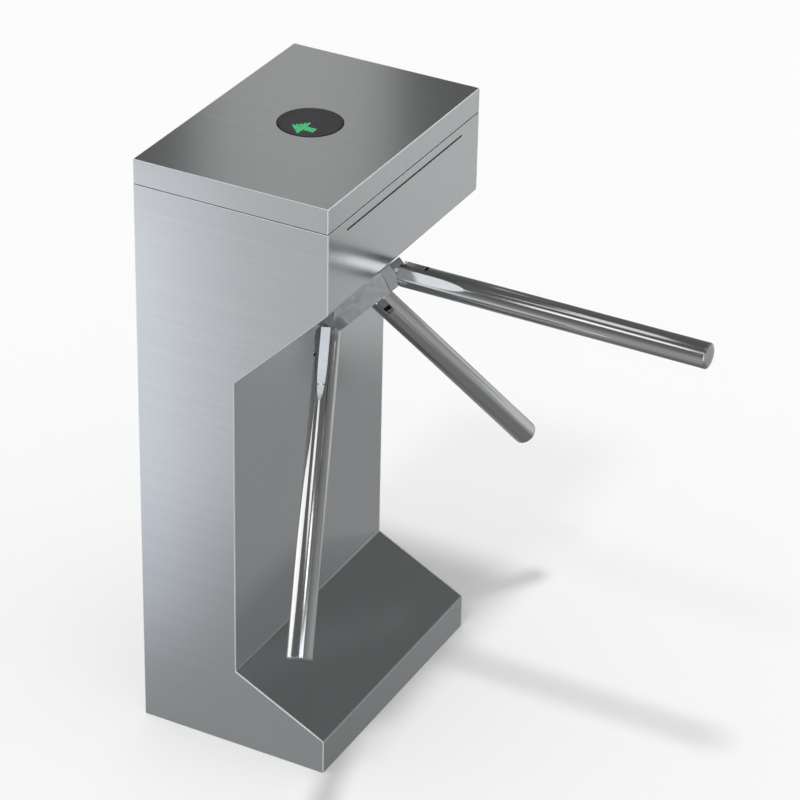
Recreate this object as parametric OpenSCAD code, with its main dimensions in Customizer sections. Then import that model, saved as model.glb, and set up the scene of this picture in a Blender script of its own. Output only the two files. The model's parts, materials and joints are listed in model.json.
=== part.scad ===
/* [Cabinet] */
// Width of the cabinet, from its back to the passage face
body_w = 330; // [310:5:370]
// Depth of the cabinet, from its near side to its far side
body_d = 480; // [440:5:560]
// Height of the whole turnstile
body_h = 1000; // [960:5:1060]
// Thickness of the cabinet's sheet steel
sheet = 2; // [1.5:0.1:3]
// Radius inside a fold of the sheet
fold_r = 3; // [1:0.5:4]
// Height of the lid
lid_h = 40; // [34:1:50]
// Gap between the lid and the cabinet, which the gasket fills
seam = 1.5; // [1:0.1:3]
// Width of the column behind the recess
column_w = 170; // [160:1:180]
// Height of the foot at the passage face
foot_h = 60; // [40:1:80]
// Rise of the foot's slope up to the recess wall
foot_rise = 80; // [50:1:100]
// Distance from the top down to the slanted face's end at the passage face
face_drop = 174; // [150:1:190]

/* [Lid and passage face] */
// Length of the slot in the passage face
slot_len = 366; // [300:1:400]
// Height of the slot in the passage face
slot_h = 4; // [3:0.5:8]
// Distance from the seam down to the slot's centre
slot_drop = 16; // [12:1:30]
// Diameter of the window in the lid
lens_d = 100; // [80:1:120]
// Thickness of the lens's flange under the lid
lens_flange_t = 3; // [2:0.5:5]
// Height of the lens above the lid
lens_proud = 0.4; // [0.2:0.1:1]
// Diameter of one lamp in the arrow
lamp_d = 3; // [2:0.2:3.6]
// Distance between neighbouring lamps
lamp_pitch = 4.5; // [4:0.1:5]
// Thickness of the gasket's lip, from outside to inside
gasket_w = 12; // [8:1:20]

/* [Base and service door] */
// Thickness of the base plate
base_t = 6; // [5:1:12]
// Diameter of the anchor holes
anchor_d = 14; // [10:1:18]
// Distance between the anchor holes across the cabinet
anchor_x = 230; // [180:5:260]
// Distance between the anchor holes along the cabinet
anchor_y = 380; // [300:5:400]
// Diameter of the cable entry
entry_d = 60; // [40:1:90]
// Width of the door opening
door_w = 380; // [340:5:400]
// Height of the door opening
door_h = 640; // [560:5:680]
// Height of the opening's lower edge above the floor
door_z = 70; // [50:5:100]
// Gap round the door
door_gap = 1; // [0.6:0.1:2]
// Depth of the door's folded edge
door_fold = 8; // [6:1:12]
// Radius of a hinge knuckle
knuckle_r = 4; // [3.5:0.1:5]
// Diameter of the hinge pins
rod_d = 3; // [2.5:0.1:4]
// Width of a hinge leaf
leaf_w = 22; // [16:1:26]
// Thickness of a hinge leaf
leaf_t = 2; // [1.5:0.1:2.5]
// Diameter of the lock barrel
barrel_d = 18; // [14:1:22]

/* [Arms] */
// Diameter of an arm
arm_d = 40; // [36:1:44]
// Wall of an arm's tube
arm_wall = 2; // [1.5:0.1:3]
// Distance from the point where the arms' lines meet to an arm's end
arm_reach = 626; // [560:2:640]
// Distance from that point to an arm's root end
root_at = 117; // [115:0.5:120]
// Distance of that point behind the slanted face
apex_back = 56; // [54:0.5:58]
// Length of the machined fork at an arm's root
fork_len = 128; // [126:1:150]
// Length of the two flats milled on the fork
flat_len = 114; // [80:1:124]
// Depth of the flats at the root end
flat_depth = 1.4; // [0.8:0.1:2]
// Length of the slot in the fork
fork_slot_len = 44; // [40:1:50]
// Width of the slot in the fork
fork_slot_w = 12; // [11:0.5:13]
// Play between the slot and each side of the tongue
tongue_play = 0.5; // [0.3:0.1:0.8]
// Distance from the root end to the hinge pin
pin_in = 14; // [12:0.5:15]
// Diameter of the hinge pin
pin_d = 10; // [8:0.5:11]
// Solid length between the fork's slot and its bore
fork_web = 14; // [10:1:20]
// Length of the end cap outside the tube
cap_t = 4; // [3:0.5:8]
// Bevel of the end cap
cap_bevel = 1; // [0.5:0.1:1.5]
// Length of the end cap inside the tube
plug_len = 12; // [8:1:20]

/* [Hub] */
// Gap between the slanted face and the hub
hub_gap = 4; // [3:0.5:6]
// Thickness of the hub
hub_t = 34; // [32:0.5:38]
// Distance from the axis to a lobe's end
lobe_r = 85; // [83:0.5:88]
// Half width of a lobe's end
lobe_half = 16; // [14:0.5:18]
// Distance from the axis to a long side of the hub
side_r = 50; // [48:0.5:53]
// Half length of a long side
side_half = 49; // [46:0.5:52]
// Taper of the hub's turned rim, from its back to its front
rim_taper = 5; // [3:0.5:7]
// Diameter of the cap on the hub's front
cap_d = 72; // [66:1:76]

/* [Shaft and bearings] */
// Diameter of the shaft
shaft_d = 30; // [28:1:32]
// Diameter of the hole in the slanted face that the shaft passes
face_hole_d = 52; // [48:1:56]
// Outer diameter of a bearing
bearing_d = 62; // [60:1:68]
// Width of a bearing
bearing_w = 16; // [14:1:18]
// Number of balls in a bearing
balls = 9; // [7:1:9]
// Diameter of a ball
ball_d = 9.5; // [8:0.5:10]
// Outer diameter of the bearing housing's barrel
barrel_od = 84; // [80:1:86]
// Diameter of the housing's flange
flange_d = 124; // [120:1:128]
// Thickness of the housing's flange
flange_t = 12; // [8:1:14]
// Length of the housing, along the shaft
housing_len = 68; // [64:1:76]
// Diameter of the shaft's flange in the hub
disc_d = 66; // [60:1:70]

/* [Drive and lock] */
// Thickness of the mechanism plate
plate_t = 8; // [6:1:10]
// Size of a gear tooth: pitch diameter for each tooth
gear_module = 4; // [3.6:0.1:4.4]
// Thickness of the drive gear
gear_t = 12; // [8:1:16]
// Diameter of the motor
motor_d = 42; // [36:1:44]
// Length of the motor
motor_len = 50; // [30:1:50]
// Radius of the lock disc
lock_r = 45; // [42:0.5:46]
// Depth of a notch
notch_depth = 10; // [9:0.5:12]
// Half width of a notch
notch_half = 7; // [6.5:0.1:8]
// Travel of a pawl's nose into its notch
nose_travel = 8; // [6:0.5:8]
// Diameter of a solenoid
solenoid_d = 30; // [24:1:34]
// Length of a solenoid
solenoid_len = 44; // [36:1:50]

/* [Equipment] */
// Width of the equipment panel
panel_w = 300; // [260:5:340]
// Distance from the recess wall's upper end down to the panel
panel_drop = 86; // [66:2:126]
// Distance from the recess wall to the panel
panel_off = 12; // [8:1:16]

/* [Hidden] */
$fn = 72;

// overrun of every cut, and the clearances of the fits
over = 1;
fit = 0.05;
run = 0.3;
pin_play = 0.08;

// heights and planes of the cabinet
wall_top = body_h - lid_h - seam;
lid_z = body_h - lid_h;
back_x = -body_w / 2;
front_x = body_w / 2;
wall_x = back_x + column_w;
face_w = body_w - column_w;
face_top = body_h - face_drop;
face_low = face_top - face_w;
inner_y = body_d / 2 - sheet;

// the slanted face lies at 45 degrees, and the arms stand at 45 degrees to the shaft
slope = 45;
cone = 45;
arms = 3;
face_x = (wall_x + front_x) / 2;
face_z = (face_low + face_top) / 2;

function unit(v) = v / norm(v);
function left_of(v) = [-v[1], v[0]];
// the corner of a line moved sideways by d, where a-b and b-c meet
function mitre(a, b, c, d) =
    let (n = left_of(unit(b - a)), m = unit(n + left_of(unit(c - b)))) b + m * d / (m * n);
function moved(p, d) = [
    for (i = [0 : len(p) - 1])
        i == 0 ? p[0] + left_of(unit(p[1] - p[0])) * d
        : i == len(p) - 1 ? p[i] + left_of(unit(p[i] - p[i - 1])) * d
        : mitre(p[i - 1], p[i], p[i + 1], d)
];
function backwards(p) = [for (i = [len(p) - 1 : -1 : 0]) p[i]];

// the outline of the passage side, from the floor up
front_line = [
    [front_x, 0], [front_x, foot_h], [wall_x, foot_h + foot_rise], [wall_x, face_low],
    [front_x, face_top], [front_x, wall_top]
];

// one fold of a sheet that lies to the left of a line: an arc at depth d under its outer side
fold_steps = 6;
function fold_arc(a, b, c, d) =
    let (u = unit(b - a), v = unit(c - b), s = sign(u[0] * v[1] - u[1] * v[0]),
         r = s > 0 ? sheet + fold_r - d : fold_r + d,
         middle = mitre(a, b, c, s > 0 ? sheet + fold_r : -fold_r),
         out = -s * left_of(u), start = atan2(out[1], out[0]), turn = s * acos(u * v))
    [for (k = [0 : fold_steps])
        let (t = start + turn * k / fold_steps) middle + r * [cos(t), sin(t)]];
function folded(p, d) = [
    for (i = [0 : len(p) - 1]) each
        i == 0 || i == len(p) - 1 ? [moved(p, d)[i]] : fold_arc(p[i - 1], p[i], p[i + 1], d)
];

// stands a flat outline of X and Z upright, running along Y from y0
module upright(y0, length) {
    translate([0, y0 + length, 0]) rotate([90, 0, 0]) linear_extrude(length) children();
}

// a block given by its low corner and its high corner
module block(low, high) {
    translate(low) cube(high - low);
}

module ring(outer, inner, height) {
    difference() {
        cylinder(h = height, r = outer);
        translate([0, 0, -over]) cylinder(h = height + 2 * over, r = inner);
    }
}

module frame_ring(low, high, width) {
    difference() {
        block(low, high);
        block([low[0] + width, low[1] + width, low[2] - over],
              [high[0] - width, high[1] - width, high[2] + over]);
    }
}

// the shaft's own frame: Z runs out of the slanted face, X runs down the slope
module on_shaft(s = 0) {
    translate([face_x, 0, face_z]) rotate([0, 180 - slope, 0]) translate([0, 0, s]) children();
}

module around(count) {
    for (k = [0 : count - 1]) rotate([0, 0, 360 * k / count]) children();
}

// the frame of one arm: Z runs out along the arm, X runs towards the side that it drops to
module on_arm(k) {
    on_shaft(-apex_back) rotate([0, 0, 360 * k / arms]) rotate([0, -cone, 0]) children();
}

// the other side of the shaft's own XZ plane
module flip(side) {
    if (side < 0) mirror([0, 1, 0]) children();
    else children();
}

module hex(across, height) {
    cylinder(h = height, r = across / sqrt(3), $fn = 6);
}

// cabinet sheets
module side_plate(y) {
    upright(y, sheet)
        polygon(concat([[back_x, 0]], folded(front_line, 0), [[back_x, wall_top]]));
}

module side_plate_near() { color("silver") side_plate(-body_d / 2); }

module side_plate_far() { color("silver") side_plate(inner_y); }

slot_z = wall_top - slot_drop;

module front_sheet() {
    color("silver") difference() {
        upright(-inner_y, 2 * inner_y)
            polygon(concat(folded(front_line, 0), backwards(folded(front_line, sheet))));
        on_shaft(-sheet - over) cylinder(h = sheet + 2 * over, d = face_hole_d);
        block([front_x - sheet - over, -slot_len / 2, slot_z - slot_h / 2],
              [front_x + over, slot_len / 2, slot_z + slot_h / 2]);
    }
}

// the rear wall is two sheets: the outer one holds the door flush, the inner one is its stop
door_stop = 10;
keeper_half = 18;
lock_len = sheet + door_fold;
lock_in = 40;
lock_y = -door_w / 2 + lock_in;
lock_z = door_z + door_h / 2;
module rear_frame() {
    color("silver") {
        block([back_x + 2 * sheet, -door_w / 2 - door_stop, lock_z - keeper_half],
              [back_x + lock_len, -door_w / 2 + door_stop, lock_z + keeper_half]);
        difference() {
            block([back_x, -inner_y, 0], [back_x + 2 * sheet, inner_y, wall_top]);
            block([back_x - over, -door_w / 2, door_z],
                  [back_x + sheet, door_w / 2, door_z + door_h]);
            block([back_x, -door_w / 2 + door_stop, door_z + door_stop],
                  [back_x + 2 * sheet + over, door_w / 2 - door_stop,
                   door_z + door_h - door_stop]);
        }
    }
}

module base_plate() {
    color("dimgray") difference() {
        block([back_x + 2 * sheet, -inner_y, 0], [front_x - sheet, inner_y, base_t]);
        for (x = [-1, 1], y = [-1, 1])
            translate([x * anchor_x / 2, y * anchor_y / 2, -over])
                cylinder(h = base_t + 2 * over, d = anchor_d);
        translate([(back_x + wall_x) / 2, 0, -over])
            cylinder(h = base_t + 2 * over, d = entry_d);
    }
}

// the angle frame round the cabinet's mouth, which the gasket lies on
rim_w = 24;
rim_t = 3;
module top_frame() {
    color("gray") frame_ring([back_x + 2 * sheet, -inner_y, wall_top - rim_t],
                             [front_x - sheet, inner_y, wall_top], rim_w);
}

gasket_back = sheet / 2;
module lid_gasket() {
    color("black") frame_ring([back_x + gasket_back, -body_d / 2 + gasket_back, wall_top],
                              [front_x - gasket_back, body_d / 2 - gasket_back, lid_z],
                              gasket_w);
}

// lid and its light
module top_lid() {
    color("silver") difference() {
        block([back_x, -body_d / 2, lid_z], [front_x, body_d / 2, body_h]);
        block([back_x + sheet, -inner_y, lid_z - over],
              [front_x - sheet, inner_y, body_h - sheet]);
        translate([0, 0, body_h - sheet - over])
            cylinder(h = sheet + 2 * over, d = lens_d + 2 * run);
    }
}

lens_flange = 6;
lens_z = body_h - sheet - lens_flange_t;
module indicator_lens() {
    color([0.1, 0.1, 0.12]) {
        translate([0, 0, lens_z]) cylinder(h = lens_flange_t, d = lens_d + 2 * lens_flange);
        translate([0, 0, lens_z]) cylinder(h = body_h + lens_proud - lens_z, d = lens_d);
    }
}

ring_t = 3;
post_len = 7;
post_r = 3;
board_t = 1.6;
board_z = lens_z - ring_t - post_len - board_t;
module lens_ring() {
    color("dimgray") {
        translate([0, 0, lens_z - ring_t])
            ring(lens_d / 2 + lens_flange, lens_d / 2 - lens_flange, ring_t);
        translate([0, 0, lens_z - ring_t - post_len]) around(arms)
            translate([lens_d / 2 - post_r, 0, 0])
                cylinder(h = post_len + ring_t / 2, r = post_r);
    }
}

lamp_h = 1;
block_gap = 0.5;
matrix = 42;
arrow_x = -6;
arrow_y = -10;
module indicator_board() {
    color("darkgreen") translate([0, 0, board_z]) cylinder(h = board_t, d = lens_d);
    color("black")
        block([arrow_x - matrix / 2, arrow_y - matrix / 2, board_z + board_t],
              [arrow_x + matrix / 2, arrow_y + matrix / 2, lens_z - lamp_h - block_gap]);
}

// lamps lit as an arrow that points to the back, in rows across: the head, then the tail
head_rows = 5;
tail_rows = 4;
tail_half = 1;
function row_half(i) = i < head_rows ? i : tail_half;
module arrow_lamps() {
    rows = head_rows + tail_rows;
    color("lime") for (i = [0 : rows - 1], j = [-row_half(i) : row_half(i)])
        translate([arrow_x + (i - (rows - 1) / 2) * lamp_pitch, arrow_y + j * lamp_pitch,
                   lens_z - lamp_h - block_gap])
            cylinder(h = lamp_h, d = lamp_d, $fn = 24);
}

window_t = 3;
window_lap = 5;
module slot_window() {
    color([0.08, 0.08, 0.1]) {
        block([front_x - sheet - window_t, -slot_len / 2 - window_lap,
               slot_z - slot_h / 2 - window_lap],
              [front_x - sheet, slot_len / 2 + window_lap, slot_z + slot_h / 2 + window_lap]);
        block([front_x - sheet - window_t, -slot_len / 2 + run, slot_z - slot_h / 2 + run],
              [front_x - sheet / 2, slot_len / 2 - run, slot_z + slot_h / 2 - run]);
    }
}

strip_t = 1.6;
module lamp_strip() {
    color("white") block([front_x - sheet - window_t - strip_t, -slot_len / 2,
                          slot_z - slot_h / 2 - window_lap],
                         [front_x - sheet - window_t, slot_len / 2,
                          slot_z + slot_h / 2 + window_lap]);
}

// a butt hinge in its own frame: the rod is the Z axis, the wall lies at X = hinge_out,
// and side +1 has its leaf on +Y, side -1 on -Y; first says which knuckles the leaf has
knuckles = 5;
knuckle_gap = 0.3;
leaf_gap = 0.5;
hinge_out = knuckle_r + leaf_gap;
module hinge_leaf(length, side, first) {
    pitch = length / knuckles;
    difference() {
        union() {
            flip(side)
                block([hinge_out - leaf_t, knuckle_r + leaf_t / 2, 0], [hinge_out, leaf_w, length]);
            for (k = [first : 2 : knuckles - 1]) {
                z0 = k * pitch + (k == 0 ? 0 : knuckle_gap / 2);
                z1 = (k + 1) * pitch - (k == knuckles - 1 ? 0 : knuckle_gap / 2);
                translate([0, 0, z0]) cylinder(h = z1 - z0, r = knuckle_r);
                flip(side)
                    block([hinge_out - leaf_t, 0, z0], [hinge_out, knuckle_r + leaf_t, z1]);
            }
        }
        translate([0, 0, -over]) cylinder(h = length + 2 * over, d = rod_d + 2 * fit);
    }
}

lid_hinge_share = 0.7;
door_hinge_share = 0.9;
lid_hinge_len = lid_hinge_share * body_d;
lid_rod = [back_x - hinge_out, -lid_hinge_len / 2, (wall_top + lid_z) / 2];
door_hinge_len = door_hinge_share * door_h;
door_rod = [back_x - hinge_out, door_w / 2 - door_gap / 2, door_z + (door_h - door_hinge_len) / 2];

module on_lid_hinge() { translate(lid_rod) rotate([-90, 0, 0]) children(); }
module on_door_hinge() { translate(door_rod) children(); }

module hinge_frame_leaves() {
    color("gray") {
        on_lid_hinge() hinge_leaf(lid_hinge_len, 1, 0);
        on_door_hinge() hinge_leaf(door_hinge_len, 1, 0);
    }
}

module lid_hinge_leaf() { color("gray") on_lid_hinge() hinge_leaf(lid_hinge_len, -1, 1); }
module door_hinge_leaf() { color("gray") on_door_hinge() hinge_leaf(door_hinge_len, -1, 1); }

module hinge_rods() {
    color("silver") {
        on_lid_hinge() cylinder(h = lid_hinge_len, d = rod_d);
        on_door_hinge() cylinder(h = door_hinge_len, d = rod_d);
    }
}

// a hook under the lid's front edge, and the latch that turns over its foot
catch_half = 15;
catch_t = 4;
foot_t = 3;
catch_foot = 18;
catch_drop = 28;
catch_gap = 2;
catch_x = front_x - sheet - rim_w - catch_gap;
catch_z = wall_top - catch_drop;
module lid_catch() {
    color("gray") {
        block([catch_x - catch_t, -catch_half, catch_z], [catch_x, catch_half, body_h - sheet]);
        block([catch_x - catch_foot, -catch_half, catch_z],
              [catch_x, catch_half, catch_z + foot_t]);
    }
}

latch_t = 3;
latch_half = 5;
latch_pin_d = 8;
latch_len = 34;
latch_x = catch_x - catch_t - latch_half - catch_gap;
latch_side = 18;
latch_y = -catch_half - latch_half - latch_side;
latch_z = catch_z + foot_t + 2 * run;
bracket_t = 3;
module latch_bracket() {
    bracket_z = catch_z - bracket_t - run;
    color("gray") {
        block([latch_x - 2 * latch_half, latch_y - 2 * latch_half, bracket_z],
              [front_x - sheet, latch_y + 2 * latch_half, bracket_z + bracket_t]);
        block([front_x - sheet - bracket_t, latch_y - 2 * latch_half, bracket_z - 4 * bracket_t],
              [front_x - sheet, latch_y + 2 * latch_half, bracket_z + bracket_t]);
        translate([latch_x, latch_y, bracket_z])
            cylinder(h = latch_z - bracket_z - fit, d = 2 * latch_pin_d);
        translate([latch_x, latch_y, bracket_z])
            cylinder(h = latch_z + 2 * latch_t - bracket_z, d = latch_pin_d);
    }
}

module lid_latch() {
    color("goldenrod") translate([latch_x, latch_y, latch_z]) difference() {
        union() {
            cylinder(h = latch_t, r = latch_pin_d);
            block([-latch_len, -latch_half, 0], [0, latch_half, latch_t]);
            translate([-latch_len, 0, 0]) cylinder(h = latch_t, r = latch_half);
        }
        translate([0, 0, -over]) cylinder(h = latch_t + 2 * over, d = latch_pin_d + 2 * fit);
    }
}

// service door: a flush panel with a folded edge behind it
module service_door() {
    low_y = -door_w / 2 + door_gap;
    low_z = door_z + door_gap;
    fold = door_stop + 3 * door_gap;
    color("silver") difference() {
        union() {
            block([back_x, low_y, low_z],
                  [back_x + sheet, -low_y, door_z + door_h - door_gap]);
            block([back_x + sheet / 2, low_y + fold, low_z + fold],
                  [back_x + sheet + door_fold, -low_y - fold, door_z + door_h - door_gap - fold]);
        }
        block([back_x + sheet, low_y + fold + sheet, low_z + fold + sheet],
              [back_x + sheet + door_fold + over, -low_y - fold - sheet,
               door_z + door_h - door_gap - fold - sheet]);
        translate([back_x - over, lock_y, lock_z]) rotate([0, 90, 0])
            cylinder(h = sheet + 2 * over, d = barrel_d + 2 * fit);
    }
}

// the barrel's case stays in the door, and the plug with its cam turns in it
lock_head = 3;
plug_d = 12;
module door_lock() {
    color("silver") translate([back_x, lock_y, lock_z]) rotate([0, 90, 0]) difference() {
        union() {
            translate([0, 0, -lock_head]) cylinder(h = lock_head, d = barrel_d + 2 * lock_head);
            cylinder(h = lock_len, d = barrel_d);
            translate([0, 0, sheet]) hex(barrel_d + 2 * lock_head, lock_head);
        }
        translate([0, 0, -lock_head - over])
            cylinder(h = lock_len + lock_head + 2 * over, d = plug_d + 2 * fit);
    }
}

cam_len = 44;
cam_half = 7;
cam_t = 3;
key_w = 2;
module door_lock_cam() {
    color("goldenrod") translate([back_x, lock_y, lock_z]) rotate([0, 90, 0]) difference() {
        union() {
            translate([0, 0, -lock_head]) cylinder(h = lock_len + lock_head + cam_t, d = plug_d);
            translate([0, 0, lock_len + run]) {
                cylinder(h = cam_t, r = cam_half);
                block([0, -cam_half, 0], [cam_len, cam_half, cam_t]);
            }
        }
        block([-plug_d / 3, -key_w / 2, -lock_head - over], [plug_d / 3, key_w / 2, lock_head]);
    }
}

// bearing housing, from the slanted face inwards
housing_end = -sheet - housing_len;
seal_wall = 8.5;
seal_d = shaft_d + 2 * seal_wall;
seal_w = 8;
seal_gap = 2;
seat_z = -sheet - seal_w - seal_gap;
stud_d = 8;
nut_af = 13;
nut_h = 6.5;
stud_r = (flange_d + barrel_od) / 4;
studs = 6;
screw_d = 6;
screw_r = (bearing_d + barrel_od) / 4;
module bearing_housing() {
    color("slategray") on_shaft() difference() {
        union() {
            translate([0, 0, -sheet - flange_t]) cylinder(h = flange_t, d = flange_d);
            translate([0, 0, housing_end]) cylinder(h = housing_len, d = barrel_od);
        }
        translate([0, 0, seat_z - over])
            cylinder(h = -sheet - seat_z + 2 * over, d = seal_d + 2 * fit);
        translate([0, 0, housing_end - over])
            cylinder(h = seat_z - housing_end + over, d = bearing_d + 2 * fit);
        rotate([0, 0, 180 / studs]) around(studs) translate([stud_r, 0, -sheet - flange_t - over])
            cylinder(h = flange_t + 2 * over, d = stud_d + 4 * run);
        rotate([0, 0, 180 / plate_screws]) around(plate_screws)
            translate([screw_r, 0, housing_end - over])
                cylinder(h = 2 * plate_t + over, d = screw_d + 2 * fit);
    }
}

// studs with their nuts at the flange, and screws that hold the plate on the barrel's end
plate_screws = 4;
module housing_fasteners() {
    color("silver") on_shaft() rotate([0, 0, 180 / studs]) around(studs)
        translate([stud_r, 0, 0]) {
            translate([0, 0, -sheet - flange_t - 1.5 * nut_h])
                cylinder(h = flange_t + 1.5 * nut_h, d = stud_d);
            translate([0, 0, -sheet - flange_t - nut_h]) hex(nut_af, nut_h);
        }
    color("silver") on_shaft(plate_z) rotate([0, 0, 180 / plate_screws]) around(plate_screws)
        translate([screw_r, 0, 0]) {
            translate([0, 0, -screw_d / 2]) cylinder(h = screw_d / 2, d = 1.8 * screw_d);
            translate([0, 0, -screw_d / 4])
                cylinder(h = 2 * plate_t + screw_d / 4, d = screw_d);
        }
}

module shaft_seal() {
    color("black") on_shaft(-sheet - seal_w) ring(seal_d / 2, shaft_d / 2 + fit, seal_w);
}

// bearings: the balls run in grooves of the two rings
front_bearing = seat_z - bearing_w;
rear_bearing = housing_end;
bearing_places = [front_bearing, rear_bearing];
ball_r = (bearing_d + shaft_d) / 4;
race_gap = ball_d / 3;
ball_play = 0.1;
module race(outer, inner) {
    difference() {
        ring(outer, inner, bearing_w);
        translate([0, 0, bearing_w / 2]) rotate_extrude()
            translate([ball_r, 0]) circle(d = ball_d + 2 * ball_play);
    }
}

module bearing_outer_rings() {
    color("lightsteelblue") for (s = bearing_places)
        on_shaft(s) race(bearing_d / 2, ball_r + race_gap);
}

module bearing_inner_rings() {
    color("lightsteelblue") for (s = bearing_places)
        on_shaft(s) race(ball_r - race_gap, shaft_d / 2 + fit);
}

module bearing_balls() {
    color("silver") for (s = bearing_places) on_shaft(s + bearing_w / 2)
        around(balls) translate([ball_r, 0, 0]) sphere(d = ball_d);
}

spacer_wall = 3;
module bearing_spacer() {
    color("gray") on_shaft(rear_bearing + bearing_w)
        ring(bearing_d / 2, bearing_d / 2 - spacer_wall, front_bearing - rear_bearing - bearing_w);
}

// what turns on the shaft, behind the mechanism plate
plate_z = housing_end - plate_t;
collar = 4;
gear_z = plate_z - collar - gear_t;
lock_t = 8;
lock_z0 = gear_z - collar - lock_t;
lock_boss = 6;
code_t = 2;
code_z = lock_z0 - lock_boss - code_t;
nut_t = 10;
shaft_out = 6;
shaft_end = code_z - nut_t - shaft_out;
disc_t = 8;
module main_shaft() {
    color("silver") on_shaft() {
        translate([0, 0, shaft_end]) cylinder(h = hub_gap - shaft_end + disc_t / 2, d = shaft_d);
        translate([0, 0, hub_gap]) cylinder(h = disc_t, d = disc_d);
    }
}

// the plate carries the motor in front, and the pawls, solenoids and light barrier behind
gear_teeth = 24;
pinion_teeth = 12;
notches = 6;
gear_pitch_r = gear_module * gear_teeth / 2;
pinion_pitch_r = gear_module * pinion_teeth / 2;
gear_gap = gear_pitch_r + pinion_pitch_r;
motor_shaft_d = 10;
pawl_arm = 60;
pawl_low = 2;
pawl_y = lock_r - pawl_low;
pawl_pin_d = 8;
tail_x = 10;
plunger_d = 8;
pawl_back = 15;
pawl_top = lock_r + run + pawl_back;
solenoid_gap = 12;
solenoid_y = pawl_top + solenoid_gap;
plate_edge = 26;
plate_rim = 16;
plate_side = 6;
hole_play = 3;
barrier_t = 5;
barrier_gap = 1;
barrier_x = gear_pitch_r + gear_module + barrier_gap + barrier_t;
plate_up = barrier_x + plate_rim;
plate_down = gear_gap + plate_edge;
plate_half = solenoid_y + solenoid_len + plate_side;
module mechanism_plate() {
    color("gainsboro") on_shaft(plate_z) difference() {
        block([-plate_up, -plate_half, 0], [plate_down, plate_half, plate_t]);
        translate([0, 0, -over]) cylinder(h = plate_t + 2 * over, d = shaft_d + 2 * hole_play);
        translate([gear_gap, 0, -over])
            cylinder(h = plate_t + 2 * over, d = motor_shaft_d + 2 * hole_play);
        rotate([0, 0, 180 / plate_screws]) around(plate_screws)
            translate([screw_r, 0, -over])
                cylinder(h = plate_t + 2 * over, d = screw_d + 2 * run);
        for (side = [-1, 1]) translate([pawl_arm, side * pawl_y, -over])
            cylinder(h = plate_t + 2 * over, d = pawl_pin_d + 2 * fit);
    }
}

// involute teeth: half_angle gives half the tooth's width, as an angle, at each radius
pressure = 25;
backlash = 0.3;
flank_steps = 3;
root_share = 1.2;
function inv(a) = tan(a) * 180 / PI - a;
function half_angle(teeth, r) =
    let (base = gear_module * teeth / 2 * cos(pressure))
    90 / teeth - backlash / (gear_module * teeth) * 180 / PI
    + inv(pressure) - inv(acos(min(1, base / r)));
function flank_r(teeth, i) =
    let (pitch_r = gear_module * teeth / 2, low = pitch_r * cos(pressure) + fit)
    low + (pitch_r + gear_module - low) * i / flank_steps;
function tooth(teeth, k) =
    let (mid = 360 * k / teeth, foot_r = gear_module * (teeth / 2 - root_share),
         foot = half_angle(teeth, flank_r(teeth, 0)))
    concat(
        [foot_r * [cos(mid - foot), sin(mid - foot)]],
        [for (i = [0 : flank_steps]) let (r = flank_r(teeth, i), a = mid - half_angle(teeth, r))
            r * [cos(a), sin(a)]],
        [for (i = [flank_steps : -1 : 0]) let (r = flank_r(teeth, i), a = mid + half_angle(teeth, r))
            r * [cos(a), sin(a)]],
        [foot_r * [cos(mid + foot), sin(mid + foot)]]);
module gear(teeth, height, bore) {
    difference() {
        linear_extrude(height)
            polygon([for (k = [0 : teeth - 1]) for (p = tooth(teeth, k)) p]);
        translate([0, 0, -over]) cylinder(h = height + 2 * over, d = bore);
    }
}

boss_wall = 5;
sleeve_wall = 2;
web_holes = 6;
web_at_share = 0.65;
web_hole_share = 0.14;
module drive_gear() {
    color("darkgoldenrod") on_shaft(gear_z) difference() {
        union() {
            gear(gear_teeth, gear_t, shaft_d + 2 * fit);
            translate([0, 0, -collar])
                ring(shaft_d / 2 + boss_wall, shaft_d / 2 + fit, collar + fit);
            translate([0, 0, gear_t - fit])
                ring(shaft_d / 2 + sleeve_wall, shaft_d / 2 + fit, collar + plate_t);
        }
        rotate([0, 0, 180 / web_holes]) around(web_holes)
            translate([gear_pitch_r * web_at_share, 0, -over])
                cylinder(h = gear_t + 2 * over, r = gear_pitch_r * web_hole_share);
    }
}

flutes = 12;
flute_at_share = 0.2;
flute_share = 0.6;
module drive_motor() {
    color("dimgray") on_shaft(housing_end) translate([gear_gap, 0, 0]) difference() {
        cylinder(h = motor_len, d = motor_d);
        translate([0, 0, -over]) cylinder(h = motor_len / 2, d = motor_shaft_d + 2 * fit);
        translate([0, 0, motor_len * flute_at_share]) around(flutes)
            translate([motor_d / 2, 0, 0])
                cylinder(h = motor_len * flute_share, r = motor_d / flutes / 2, $fn = 24);
    }
}

module motor_pinion() {
    color("goldenrod") on_shaft() translate([gear_gap, 0, 0]) {
        translate([0, 0, gear_z]) rotate([0, 0, 180 / pinion_teeth])
            gear(pinion_teeth, gear_t, motor_shaft_d - 2 * fit);
        translate([0, 0, gear_z]) cylinder(h = housing_end + motor_len / 3 - gear_z, d = motor_shaft_d);
    }
}

// notches face the two pawls, and come round again every sixth of a turn
module lock_disc() {
    color("steelblue") on_shaft(lock_z0) difference() {
        union() {
            cylinder(h = lock_t, r = lock_r);
            translate([0, 0, -lock_boss])
                cylinder(h = lock_boss + fit, d = shaft_d + 2 * boss_wall);
        }
        translate([0, 0, -lock_boss - over])
            cylinder(h = lock_t + lock_boss + 2 * over, d = shaft_d + 2 * fit);
        rotate([0, 0, 90]) around(notches)
            block([lock_r - notch_depth, -notch_half, -over],
                  [lock_r + over, notch_half, lock_t + over]);
    }
}

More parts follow.
